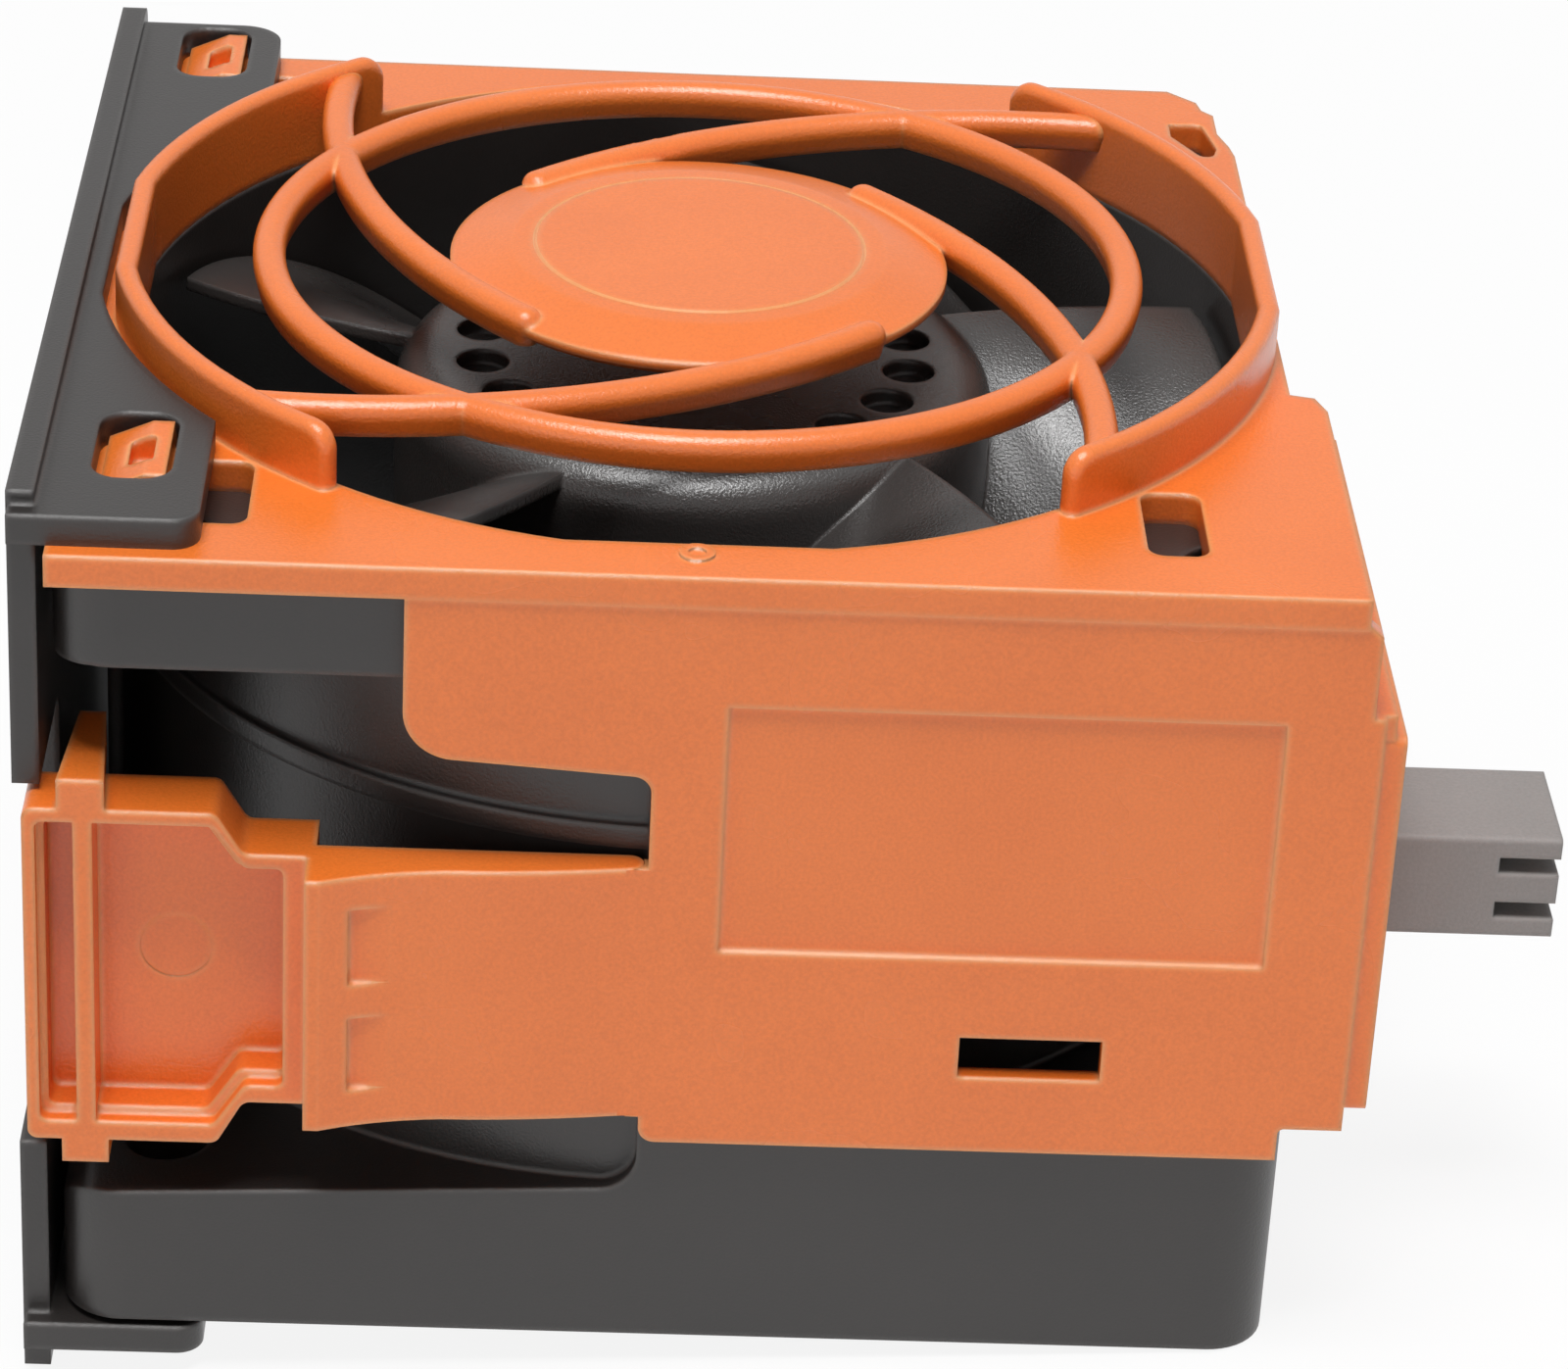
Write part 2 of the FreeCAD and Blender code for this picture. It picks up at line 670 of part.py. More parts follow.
    # Collar: two C-shaped walls round the air opening with flats on their outer sides.
    for name, side in (("right", ""), ("left", "-1 * ")):
        wall = new_sketch(body, "collar_plan_" + name, "XY", "frame_height")
        outer_half = "sqrt(collar_outer ^ 2 - collar_flat ^ 2)"
        inner_half = "sqrt(duct_radius ^ 2 - collar_inner_flat ^ 2)"
        turn = "" if name == "right" else "-1 * "
        end_x = "%s (%s) * cos(collar_sweep)"
        outline(wall, [
            (end_x % (side, "duct_radius"), "-duct_radius * sin(collar_sweep)"),
            (end_x % (side, "collar_outer"), "-collar_outer * sin(collar_sweep)",
             None, turn + "collar_outer"),
            (side + "collar_flat", neg(outer_half)),
            (side + "collar_flat", outer_half, None, turn + "collar_outer"),
            (end_x % (side, "collar_outer"), "collar_outer * sin(collar_sweep)"),
            (end_x % (side, "duct_radius"), "duct_radius * sin(collar_sweep)",
             None, "-1 * (%s (duct_radius))" % turn),
            (side + "collar_inner_flat", inner_half),
            (side + "collar_inner_flat", neg(inner_half), None,
             "-1 * (%s (duct_radius))" % turn)])
        pad(body, "collar_" + name, wall, "collar_top - frame_height")
    top = val("collar_top") - 1e-6
    middle = val("(duct_radius + collar_outer) / 2")

    def rim(edge):
        """Radius of an edge of the collar's top, negative across an end, 0 elsewhere."""
        if edge.BoundBox.ZMin < top:
            return 0
        spot = edge.valueAt((edge.FirstParameter + edge.LastParameter) / 2)
        reach = math.hypot(spot.x, spot.y)
        return reach if edge.Length > 1.5 * val("collar_wall") else -reach
    dress(body, "Fillet", "collar_ends", "collar_end_round", lambda edge: rim(edge) < 0)
    dress(body, "Fillet", "collar_outside", "collar_round", lambda edge: rim(edge) > middle)
    dress(body, "Fillet", "collar_inside", "collar_round", lambda edge: 0 < rim(edge) < middle)

    # Air opening: round with a flat at the front.
    opening = new_sketch(body, "opening_plan", "XY", "panel_top")
    half = "sqrt(duct_radius ^ 2 - opening_flat ^ 2)"
    split = "duct_radius * cos(collar_sweep + 10)"
    rise = "duct_radius * sin(collar_sweep + 10)"
    flat_half = "sqrt(duct_radius ^ 2 - collar_inner_flat ^ 2)"
    outline(opening, [
        (neg(half), neg("opening_flat")), (half, neg("opening_flat"), None, "duct_radius"),
        ("collar_inner_flat", neg(flat_half)), ("collar_inner_flat", flat_half, None, "duct_radius"),
        (split, rise, None, "duct_radius"), (neg(split), rise, None, "duct_radius"),
        (neg("collar_inner_flat"), flat_half),
        (neg("collar_inner_flat"), neg(flat_half), None, "duct_radius")])
    pocket(body, "air_opening", opening, "panel_thickness")

    # Core-outs beside the snap legs, and the legs that clip under the frame's top flange.
    # The back right leg has its core-out and barb on the outer side.
    near_gap = "(leg_thickness / 2 - 0.1)"
    for name, x_sign, y_sign, out in (("fr", 1, -1, -1), ("fl", -1, -1, -1), ("br", 1, 1, 1),
                                      ("bl", -1, 1, -1)):
        middle = "%d * screw_half" % x_sign
        way = x_sign * out
        near = "%s + %d * %s" % (middle, way, near_gap)
        far = "%s + %d * leg_slot_width" % (near, way)
        slot = new_sketch(body, "leg_slot_plan_" + name, "XY", "panel_top")
        if name == "br":
            outline(slot, [(near, "19.9 + 3.6"), (near + " + 1.9", "19.9", "0.5"),
                           (near + " + 2.4", "22", "0.5"), (near + " + 1.8", "25.3", "0.4"),
                           (near, "25.2")])
        else:
            low = "%d * (screw_half - 1) - leg_slot_length / 2" % y_sign
            x_low, x_high = (near, far) if way > 0 else (far, near)
            box_outline(slot, x_low, x_high, low, low + " + leg_slot_length", "0.8")
        pocket(body, "leg_slot_" + name, slot, "panel_thickness")
        leg = new_sketch(body, "leg_plan_" + name, "XY", "bay_top - leg_barb_height")
        box_outline(leg, middle + " - " + near_gap, middle + " + " + near_gap,
                    "%d * screw_half - leg_width / 2" % y_sign,
                    "%d * screw_half + leg_width / 2" % y_sign)
        pad(body, "leg_" + name, leg, "frame_height - bay_top + leg_barb_height + 0.2")
        barb = new_sketch(body, "leg_barb_side_" + name, "XZ",
                          "%d * screw_half - leg_width / 2" % y_sign)
        tip = "%s + %d * leg_barb" % (near, way)
        root = "%s - %d * 0.3" % (near, way)
        outline(barb, [(root, "bay_top - 0.1"), (tip, "bay_top - 0.1"), (tip, "bay_top - 0.6"),
                       (root, "bay_top - leg_barb_height")])
        pad(body, "leg_barb_" + name, barb, "leg_width")

    # Moulding mark on the panel in front of the opening.
    mark = new_sketch(body, "mark_plan", "XY", "panel_top")
    circle(mark, "-0.1", neg("opening_flat + 1.05"), "mark_radius")
    circle(mark, "-0.1", neg("opening_flat + 1.05"), "mark_radius / 2")
    pad(body, "mark", mark, "mark_height")

    # Barbs through the slots of the end plate's upper flange.
    for name, middle in (("front", neg("slot_front")), ("back", "slot_back")):
        low = "%s - barb_length / 2" % middle
        barb = new_sketch(body, "barb_side_" + name, "XZ", low)
        right_x = "slot_left - slot_width + 0.3"
        outline(barb, [(neg(right_x + " + barb_width"), "panel_top - 0.2"),
                       (neg(right_x + " + barb_width"), "panel_top + 0.5"),
                       (neg(right_x + " + 1"), "panel_top + barb_rise"),
                       (neg(right_x), "panel_top + barb_rise"),
                       (neg(right_x), "panel_top - 0.2")])
        pad(body, "barb_" + name, barb, "barb_length")
        core = new_sketch(body, "barb_core_plan_" + name, "XY", "panel_top + barb_rise")
        box_outline(core, neg(right_x + " + 1.9"), neg(right_x + " + 0.7"),
                    "%s - 1.3" % middle, "%s + 1.3" % middle, "0.3")
        pocket(body, "barb_core_" + name, core, "barb_rise")
    return body


# ---------------------------------------------------------------- guard

def bar_section(sketch, middle):
    """Bar of the guard: rounded on top, tapered below."""
    half = "bar_width / 2"
    return outline(sketch, [
        ("%s - %s + 0.2" % (middle, half), "bar_bottom"),
        ("%s + %s - 0.2" % (middle, half), "bar_bottom"),
        ("%s + %s" % (middle, half), "(bar_bottom + bar_top) / 2"),
        ("%s + %s" % (middle, half), "bar_top", "bar_round"),
        ("%s - %s" % (middle, half), "bar_top", "bar_round"),
        ("%s - %s" % (middle, half), "(bar_bottom + bar_top) / 2")])


def swing(body, name, sketch, x):
    """Revolution of a sketch about an upright line of its own plane."""
    line = Part.LineSegment(Vector(val(x), 0, 0), Vector(val(x), val("bar_top"), 0))
    axis = sketch.addGeometry(line, True)
    fix(sketch, axis, 1, x, "0")
    fix(sketch, axis, 2, x, "bar_top")
    feature = body.newObject("PartDesign::Revolution", name)
    feature.Profile = sketch
    feature.ReferenceAxis = (sketch, ["Axis0"])
    return feature


def make_guard():
    body = new_body("guard")
    disc = new_sketch(body, "disc_profile", "XZ", "0")
    outline(disc, [
        ("0", "disc_bottom"), ("disc_radius - 0.5", "disc_bottom"),
        ("disc_radius", "disc_bottom + 0.4"), ("disc_radius", "disc_edge"),
        ("disc_slope", "disc_top - 0.08"), ("disc_groove + 0.1", "disc_top - 0.04"),
        ("disc_groove", "disc_top - 0.2"), ("disc_groove - 0.1", "disc_top"),
        ("0", "disc_top")])
    revolve(body, "Revolution", "disc", disc)
    ring = new_sketch(body, "ring_profile", "XZ", "0")
    bar_section(ring, "ring_radius")
    revolve(body, "Revolution", "ring", ring)

    # One spoke: the bar swept about its own upright axis to a round end that lies on the disc.
    section = new_sketch(body, "spoke_profile", "XZ", "spoke_centre_y")
    bar_section(section, "spoke_centre_x - spoke_radius")
    spoke = swing(body, "spoke", section, "spoke_centre_x")
    spoke.Type = "TwoAngles"
    spoke.setExpression("Angle", ex("spoke_turn"))
    spoke.Angle2 = 20
    middle = "(spoke_centre_x - spoke_radius * cos(spoke_turn))"
    half = new_sketch(body, "spoke_tip_profile", "XZ",
                      "spoke_centre_y - spoke_radius * sin(spoke_turn)")
    edge = middle + " + bar_width / 2"
    outline(half, [
        (middle, "bar_bottom"), (edge + " - 0.2", "bar_bottom"),
        (edge, "(bar_bottom + bar_top) / 2"), (edge, "bar_top", "bar_round"),
        (middle, "bar_top")])
    tip = swing(body, "spoke_tip", half, middle)
    repeat(body, "spokes", [spoke, tip], "4")
    return body


def trim_guard(body):
    """Spokes end on the inner face of the collar."""
    trim = new_sketch(body, "trim_profile", "XZ", "0")
    box_outline(trim, "duct_radius", "duct_radius + 12", "bar_bottom - 2", "bar_top + 2")
    revolve(body, "Groove", "trim", trim)
    return body


# ---------------------------------------------------------------- end plate

def make_end_plate():
    body = new_body("end_plate")
    side = new_sketch(body, "plate_side", "YZ", neg("end_face"))
    outline(side, [
        (neg("end_front"), neg("end_drop")), ("end_back", neg("end_drop"), "1"),
        ("end_back", "end_top", "1"), (neg("end_front"), "end_top"),
        (neg("end_front"), "notch_top"), (neg("end_front - notch_depth"), "notch_top", "1"),
        (neg("end_front - notch_depth"), "notch_bottom", "1"),
        (neg("end_front"), "notch_bottom")])
    pad(body, "plate", side, "end_thickness")
    cut_radius = "(collar_outer + end_cut_gap)"
    for name, low in (("top", "panel_top"), ("bottom", neg("end_gap + end_flange"))):
        flange = new_sketch(body, "flange_plan_" + name, "XY", low)
        flat = "(collar_flat + end_cut_gap)"
        flat_half = "sqrt(%s ^ 2 - %s ^ 2)" % (cut_radius, flat)
        ear = "sqrt(%s ^ 2 - end_flange_reach ^ 2)" % cut_radius
        outline(flange, [
            (neg("end_face - 0.1"), neg("end_flange_front")),
            (neg("end_flange_reach"), neg("end_flange_front"), "1.3"),
            (neg("end_flange_reach"), neg(ear), None, "-1 * " + cut_radius),
            (neg(flat), neg(flat_half)), (neg(flat), flat_half, None, "-1 * " + cut_radius),
            (neg("end_flange_reach"), ear),
            (neg("end_flange_reach"), "end_flange_back", "2.2"),
            (neg("end_face - 0.1"), "end_flange_back")])
        pad(body, "flange_" + name, flange, "end_flange")
        for place, middle in (("front", neg("slot_front")), ("back", "slot_back")):
            slot = new_sketch(body, "slot_plan_%s_%s" % (name, place), "XY", low)
            box_outline(slot, neg("slot_left"), neg("slot_left - slot_width"),
                        "%s - slot_length / 2" % middle, "%s + slot_length / 2" % middle, "1.4")
            pocket(body, "slot_%s_%s" % (name, place), slot, "end_flange", 1)
    return body


# ---------------------------------------------------------------- release latch

def make_release_latch():
    body = new_body("release_latch")
    tray = new_sketch(body, "tray_side", "XZ", neg("tray_face"))
    outline(tray, [
        (neg("tray_left"), "tray_bottom", "0.5"),
        (neg("tray_shoulder"), "tray_bottom", "0.6"),
        (neg("tray_neck"), "arm_bottom", "0.6"), (neg("arm_end - 0.4"), "arm_bottom"),
        (neg("arm_end - 0.4"), "arm_top"), (neg("tray_neck"), "arm_top", "0.6"),
        (neg("tray_shoulder"), "tray_top", "0.6"), (neg("tray_left"), "tray_top", "0.5")])
    pad(body, "tray", tray, "tray_depth", 1)

    # Spring arm: thickens and swells forward to a step in front of the tray.
    arm = new_sketch(body, "arm_plan", "XY", "arm_bottom")
    outline(arm, [
        (neg("pivot_x"), neg("arm_back"), None, "-1 * knuckle_radius"),
        (neg("pivot_x - knuckle_radius"), neg("pivot_y"), None, "-1 * knuckle_radius"),
        (neg("pivot_x"), neg("arm_face"), None, "-60"),
        (neg("arm_end - 6.5"), neg("arm_mid_face"), None, "20"),
        (neg("arm_end - 0.7"), neg("arm_end_face")),
        (neg("arm_end"), neg("arm_end_face")), (neg("arm_end"), neg("arm_back"))])
    pad(body, "arm", arm, "arm_top - arm_bottom")

    # Hollow of the tray in two steps, with its upright rib and a round mark on its floor.
    for name, rim, depth in (("step", "(tray_rim - tray_step)", "tray_step_depth"),
                             ("hollow", "tray_rim", "tray_depth - tray_floor")):
        hollow = new_sketch(body, "tray_%s_side" % name, "XZ", neg("tray_face"))
        shift = "(tray_rim - %s)" % rim
        outline(hollow, [
            (neg("tray_left - " + rim), "tray_bottom + 0.4 + " + rim, "0.4"),
            (neg("tray_shoulder + 0.5 - " + shift), "tray_bottom + 0.4 + " + rim, "0.5"),
            (neg("tray_neck + 0.3 - " + shift), "arm_bottom + 0.3 + " + rim, "0.5"),
            (neg("tray_right"), "arm_bottom + 0.3 + " + rim, "0.4"),
            (neg("tray_right"), "arm_top - 0.1 - " + rim, "0.4"),
            (neg("tray_neck + 0.3 - " + shift), "arm_top - 0.1 - " + rim, "0.5"),
            (neg("tray_shoulder + 0.5 - " + shift), "tray_top - 0.05 - " + rim, "0.5"),
            (neg("tray_left - " + rim), "tray_top - 0.05 - " + rim, "0.4")])
        pocket(body, "tray_" + name, hollow, depth, 1)
    spot = new_sketch(body, "ejector_side", "XZ", neg("tray_face - tray_depth + tray_floor"))
    circle(spot, "-24.3", "20.5", "ejector_radius")
    pocket(body, "ejector_mark", spot, "tray_floor / 8", 1)
    rib = new_sketch(body, "tray_rib_side", "XZ", neg("tray_face"))
    box_outline(rib, neg("rib_left"), neg("rib_left - rib_width"), "tray_bottom + 0.6",
                "tray_top - 0.6")
    pad(body, "tray_rib", rib, "tray_depth - 0.2", 1)

    # Hook above the tray and lug below it.
    hook = new_sketch(body, "hook_plan", "XY", "tray_top - 0.6")
    outline(hook, [
        (neg("hook_left"), neg("tray_face")), (neg("hook_right"), neg("tray_face")),
        (neg("hook_right + hook_taper"), neg("hook_back")),
        (neg("hook_left - hook_taper"), neg("hook_back"))])
    pad(body, "hook", hook, "hook_top - tray_top + 0.6")
    lug = new_sketch(body, "lug_plan", "XY", "lug_bottom")
    box_outline(lug, neg("hook_left"), neg("hook_right"), neg("tray_face"),
                neg("tray_face - tray_depth"))
    pad(body, "lug", lug, "tray_bottom - lug_bottom + 0.6")

    # Two shallow grip pads at the swell of the arm.
    for name, low, high in (("upper", "21.4", "25.55"), ("lower", "15.5", "19.55")):
        grip = new_sketch(body, "grip_side_" + name, "XZ", neg("arm_end_face"))
        box_outline(grip, neg("arm_end - 2.05"), neg("arm_end - 4.5"), low, high)
        pocket(body, "grip_" + name, grip, "grip_depth", 1)
    return body


# ---------------------------------------------------------------- impeller

def blade_spot(share, radius, side):
    """Point on a blade: share 0 at the leading edge, 1 at the trailing edge; side 1 above."""
    way = (radius - val("hub_radius")) / (val("tip_radius") - val("hub_radius"))
    start = val("blade_hub_start") + way * (val("blade_tip_start") - val("blade_hub_start"))
    sweep = val("blade_sweep")
    bow = val("blade_bow")
    drop = val("blade_top") - val("blade_bottom")
    height = val("blade_top") - drop * ((1 - bow) * share + bow * share * share)
    slope_z = -drop * (1 - bow + 2 * bow * share)
    slope_s = math.radians(sweep) * radius
    size = math.hypot(slope_z, slope_s)
    thick = side * 0.5 * val("blade_thickness") * (0.45 + 2.2 * share * (1 - share))
    angle = math.radians(start + sweep * share) - thick * slope_z / size / radius
    return Vector(radius * math.cos(angle), radius * math.sin(angle),
                  height + thick * slope_s / size)


def make_blade():
    """Solid blade between two smooth faces, closed by ruled faces along its four edges."""
    radii = [val("hub_radius") - 0.6 + step / 4.0 * (val("tip_radius") - val("hub_radius") + 0.6)
             for step in range(5)]
    shares = [step / 6.0 for step in range(7)]
    faces = []
    rims = []
    for side in (1, -1):
        grid = [[blade_spot(share, radius, side) for share in shares] for radius in radii]
        surface = Part.BSplineSurface()
        surface.interpolate(grid)
        first_u, last_u, first_v, last_v = surface.bounds()
        rims.append([surface.uIso(first_u), surface.uIso(last_u),
                     surface.vIso(first_v), surface.vIso(last_v)])
        faces.append(surface.toShape())
    for above, below in zip(*rims):
        faces.append(Part.makeRuledSurface(above.toShape(), below.toShape()))
    shell = Part.makeShell(faces)
    shell.sewShape()
    blade = Part.makeSolid(Part.makeShell(shell.Faces))
    if blade.Volume < 0:
        blade.reverse()
    return blade


def make_impeller():
    hub = new_body("impeller_hub")
    cup = new_sketch(hub, "hub_profile", "XZ", "0")
    inner = "(hub_radius - hub_wall)"
    outline(cup, [
        ("0", "hub_top - hub_cap"), (inner, "hub_top - hub_cap"), (inner, "hub_bottom"),
        ("hub_radius", "hub_bottom"), ("hub_radius", "hub_top", "hub_shoulder"),
        ("0", "hub_top")])
    revolve(hub, "Revolution", "hub_cup", cup)
    vent = new_sketch(hub, "vent_plan", "XY", "hub_top")
    circle(vent, "vent_circle * cos(11.5)", "vent_circle * sin(11.5)", "vent_hole / 2")
    hole = pocket(hub, "vent", vent, "hub_cap / 2")
    repeat(hub, "vents", [hole], "vent_count")

    # The blades are smooth free-form sheets, so their shape is worked out point by point.
    blade = make_blade()
    whole = hub
    for turn in range(int(val("blade_count"))):
        copy = doc.addObject("Part::Feature", "blade_%d" % turn)
        copy.Shape = blade
        copy.Placement.Rotation = FreeCAD.Rotation(Vector(0, 0, 1), 360.0 / val("blade_count") * turn)
        joined = doc.addObject("Part::Fuse", "impeller_%d" % turn)
        joined.Base = whole
        joined.Tool = copy
        whole = joined
    whole.Label = "impeller"
    return whole


# ---------------------------------------------------------------- rotor

def make_rotor_parts():
    yoke = new_body("rotor_yoke")
    cup = new_sketch(yoke, "yoke_profile", "XZ", "0")
    outline(cup, [
        ("shaft_radius + fit", "yoke_top - yoke_boss_height"),
        ("yoke_boss_radius", "yoke_top - yoke_boss_height"),
        ("yoke_boss_radius", "yoke_top - yoke_wall"),
        ("yoke_outer - yoke_wall", "yoke_top - yoke_wall"),
        ("yoke_outer - yoke_wall", "yoke_bottom"), ("yoke_outer", "yoke_bottom"),
        ("yoke_outer", "yoke_top"), ("shaft_radius + fit", "yoke_top")])
    revolve(yoke, "Revolution", "yoke_cup", cup)

    magnet = ring_body("ring_magnet", "magnet_inner", "magnet_outer", "yoke_bottom",
                       "yoke_bottom + magnet_height")

    shaft = new_body("rotor_shaft")
    side = new_sketch(shaft, "shaft_profile", "XZ", "0")
    low = "(lower_bearing - clip_thickness - 0.1)"
    outline(side, [
        ("0", "shaft_end"), ("shaft_radius - 0.3", "shaft_end"),
        ("shaft_radius", "shaft_end + 0.3"), ("shaft_radius", low),
        ("shaft_radius - 0.35", low), ("shaft_radius - 0.35", low + " + clip_thickness + 0.05"),
        ("shaft_radius", low + " + clip_thickness + 0.05"), ("shaft_radius", "yoke_top"),
        ("0", "yoke_top")])
    revolve(shaft, "Revolution", "shaft", side)

    clip = new_body("retaining_clip")
    plan = new_sketch(clip, "clip_plan", "XY", low + " + 0.02")
    circle(plan, "0", "0", "clip_radius")
    circle(plan, "0", "0", "shaft_radius - 0.32")
    pad(clip, "clip_ring", plan, "clip_thickness")
    mouth = new_sketch(clip, "clip_mouth_plan", "XY", low + " + clip_thickness + 0.5")
    box_outline(mouth, "0.2", "clip_radius + 1", "-0.95", "0.95")
    pocket(clip, "clip_mouth", mouth, "clip_thickness + 1")

    washer = new_body("preload_washer")
    profile = new_sketch(washer, "washer_profile", "XZ", "0")
    base = "(upper_bearing + bearing_height + 0.02)"
    outline(profile, [
        ("shaft_radius + 0.1", base + " + 0.5"), ("bearing_radius - bearing_ring - 0.9", base),
        ("bearing_radius - bearing_ring - 0.9", base + " + washer_thickness"),
        ("shaft_radius + 0.1", base + " + washer_thickness + 0.5")])
    revolve(washer, "Revolution", "washer", profile)
    return [yoke, magnet, shaft, clip, washer]


def make_bearings():
    """Two ball bearings: one node holds both outer rings, another both inner rings."""
    made = []
    rings = (("bearing_outer_rings", "bearing_radius - bearing_ring", "bearing_radius - fit"),
             ("bearing_inner_rings", "shaft_radius + fit", "shaft_radius + bearing_ring"))
    for label, inner, outer in rings:
        parts = []
        for place in ("lower_bearing", "upper_bearing"):
            ring = ring_body(label + "_" + place, inner, outer, place, place + " + bearing_height")
            parts.append(ring)
        pair = doc.addObject("Part::Compound", label)
        pair.Links = parts
        pair.Label = label
        made.append(pair)
    return made


# ---------------------------------------------------------------- stator

def tooth_plan(sketch, grow, tip_half):
    """Four-pole plan of the stator: a hub and four teeth with curved tips."""
    half = "(core_tooth / 2 + %s)" % grow
    hub = "(core_hub)"
    tip = "(core_radius)"
    neck = "(core_radius - core_tip)"
    start = "sqrt(%s ^ 2 - %s ^ 2)" % (hub, half)
    edge = "sqrt(%s ^ 2 - %s ^ 2)" % (neck, half)
    corners = []
    for turn in range(4):
        angle = "%d" % (90 * turn)

        def spot(x, y):
            return ("(%s) * cos(%s) - (%s) * sin(%s)" % (x, angle, y, angle),
                    "(%s) * sin(%s) + (%s) * cos(%s)" % (x, angle, y, angle))
        cos_tip = "cos(%s)" % tip_half
        sin_tip = "sin(%s)" % tip_half
        corners += [
            spot(start, neg(half)),
            spot(edge, neg(half)) + (None, "-1 * " + neck),
            spot("%s * %s" % (neck, cos_tip), "-%s * %s" % (neck, sin_tip)),
            spot("%s * %s" % (tip, cos_tip), "-%s * %s" % (tip, sin_tip)) + (None, tip),
            spot("%s * %s" % (tip, cos_tip), "%s * %s" % (tip, sin_tip)),
            spot("%s * %s" % (neck, cos_tip), "%s * %s" % (neck, sin_tip))
            + (None, "-1 * " + neck),
            spot(edge, half),
            spot(start, half) + (None, hub)]
    return outline(sketch, corners)


def make_stator_parts():
    tube = new_body("bearing_tube")
    profile = new_sketch(tube, "tube_profile", "XZ", "0")
    ledge = "(bearing_radius - tube_ledge)"
    low = "(lower_bearing + bearing_height)"
    outline(profile, [
        ("bearing_radius", "base_floor"), ("tube_outer", "base_floor"),
        ("tube_outer", "tube_top"), ("bearing_radius", "tube_top"),
        ("bearing_radius", "upper_bearing"), (ledge, "upper_bearing"), (ledge, low),
        ("bearing_radius", low)])
    revolve(tube, "Revolution", "tube", profile)

    made = [tube]
    layers = (("stator_core", "core_bottom", "core_height", "0"),
              ("insulator_lower", "core_bottom - insulator", "insulator", "0.3"),
              ("insulator_upper", "core_top", "insulator", "0.3"))
    for label, low, height, grow in layers:
        body = new_body(label)
        plan = new_sketch(body, label + "_plan", "XY", low)
        tooth_plan(plan, grow, "core_tip_half")
        circle(plan, "0", "0", "tube_outer + fit")
        pad(body, label + "_layer", plan, height)
        made.append(body)

    coils = new_body("windings")
    plan = new_sketch(coils, "coil_side", "YZ", "core_hub + 0.1")
    half = "(core_tooth / 2 + 0.35)"
    reach = "(insulator + 0.05)"
    box_outline(plan, "-%s - coil_width" % half, "%s + coil_width" % half,
                "core_bottom - %s - coil_width" % reach, "core_top + %s + coil_width" % reach,
                "0.8")
    box_outline(plan, neg(half), half, "core_bottom - %s" % reach, "core_top + %s" % reach)
    coil = pad(coils, "coil", plan, "core_radius - core_tip - core_hub - 0.75")
    repeat(coils, "coils", [coil], "4")
    made.append(coils)
    return made


def make_board_parts():
    board = new_body("circuit_board")
    plan = new_sketch(board, "board_plan", "XY", "board_bottom")
    circle(plan, "0", "0", "board_radius")
    circle(plan, "0", "0", "tube_outer + 0.2")
    pad(board, "board", plan, "board_thickness")
    holes = new_sketch(board, "pin_hole_plan", "XY", "board_top")
    for turn in range(4):
        angle = "%d" % (45 + 90 * turn)
        circle(holes, "pin_circle * cos(%s)" % angle, "pin_circle * sin(%s)" % angle,
               "pin_radius + 0.05")
    pocket(board, "pin_holes", holes, "board_thickness")

    pins = new_body("terminal_pins")
    plan = new_sketch(pins, "pin_plan", "XY", "board_bottom - 0.4")
    circle(plan, "pin_circle * cos(45)", "pin_circle * sin(45)", "pin_radius")
    pin = pad(pins, "pin", plan, "core_bottom - insulator - board_bottom + 0.4")
    repeat(pins, "pins", [pin], "4")

    sensor = new_body("hall_sensor")
    plan = new_sketch(sensor, "sensor_plan", "XY", "board_top")
    box_outline(plan, "magnet_inner - 0.2", "magnet_inner + 1.3", "-2", "2")
    pad(sensor, "sensor", plan, "yoke_bottom - board_top - 2")
    chip = new_body("control_chip")
    plan = new_sketch(chip, "chip_plan", "XY", "board_top")
    box_outline(plan, "-12", "-7.4", "-2.5", "2.5")
    pad(chip, "chip", plan, "1.5")
    return [board, pins, sensor, chip]


# ---------------------------------------------------------------- plug and leads

def contact_spots():
    """Height and Y of the four contacts, upper pair first."""
    half = "contact_pitch / 2"
    return [("-plug_middle %s %s" % (y, half), "plug_height %s %s" % (z, half))
            for y, z in (("-", "+"), ("-", "-"), ("+", "+"), ("+", "-"))]


